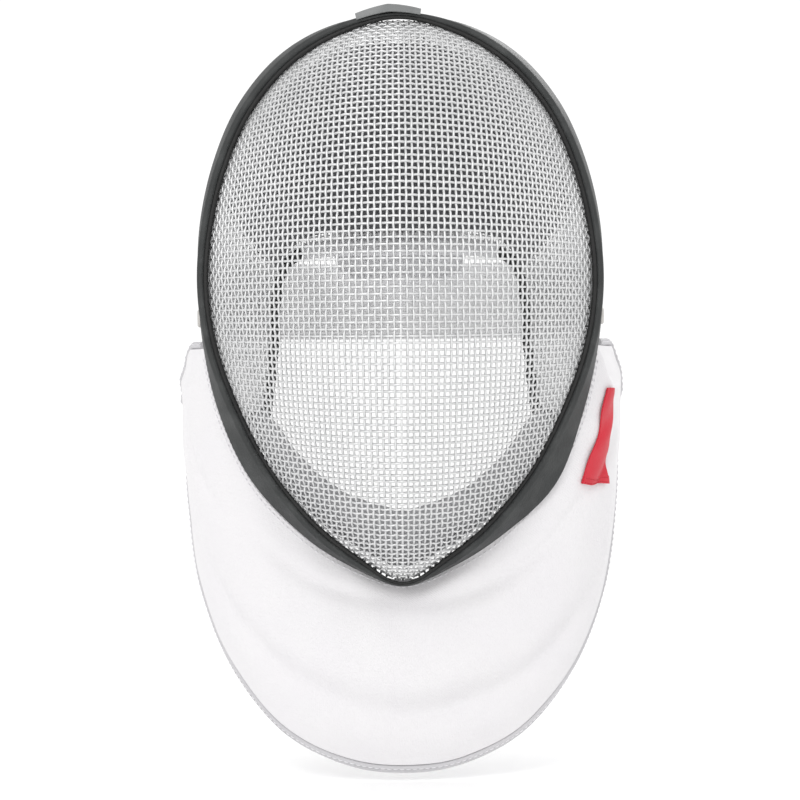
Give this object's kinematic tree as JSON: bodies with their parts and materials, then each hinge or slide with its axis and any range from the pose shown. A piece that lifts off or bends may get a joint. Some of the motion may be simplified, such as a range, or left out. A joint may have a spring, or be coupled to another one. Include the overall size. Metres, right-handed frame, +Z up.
{
  "type": "fencing mask",
  "caption": "Fencing mask: creased wire face in a dark edge band, wire hood with lined crown, hanging cloth bib, chin pad, sprung tongue and back strap.",
  "frame": {"origin": "inside of the crown, where the top of the wearer's head touches the lining", "axes": "+Z up along the head, the face looks along -Y, +X is to the right when the mask is seen from the front"},
  "size_m": [0.2298, 0.2818, 0.3832],
  "materials": {
    "steel_wire": "bright tinned steel wire",
    "edge_band": "satin black with a fine leather grain",
    "crown_lining": "dark padded lining cloth",
    "bib_cloth": "white close woven bib cloth",
    "bib_hem": "bound and stitched edge",
    "chin_padding": "soft white padding",
    "elastic": "ribbed white elastic",
    "snap_metal": "nickel plated",
    "tongue_cover": "white cloth over spring steel",
    "tab_sheet": "grey satin sheet",
    "label_ribbon": "red woven ribbon"
  },
  "bodies": {
    "root": {"face_mesh": "steel_wire", "hood_mesh": "steel_wire", "edge_band": "edge_band", "hood_binding": "edge_band", "crown_lining": "crown_lining", "chin_pad": "chin_padding", "bib": "bib_cloth", "bib_hem": "bib_hem", "side_label": "label_ribbon", "back_strap": "elastic", "snap_right_upper": "snap_metal", "snap_right_lower": "snap_metal", "snap_left_upper": "snap_metal", "snap_left_lower": "snap_metal", "tongue": "tongue_cover", "top_tab": "tab_sheet"}
  },
  "joints": []
}
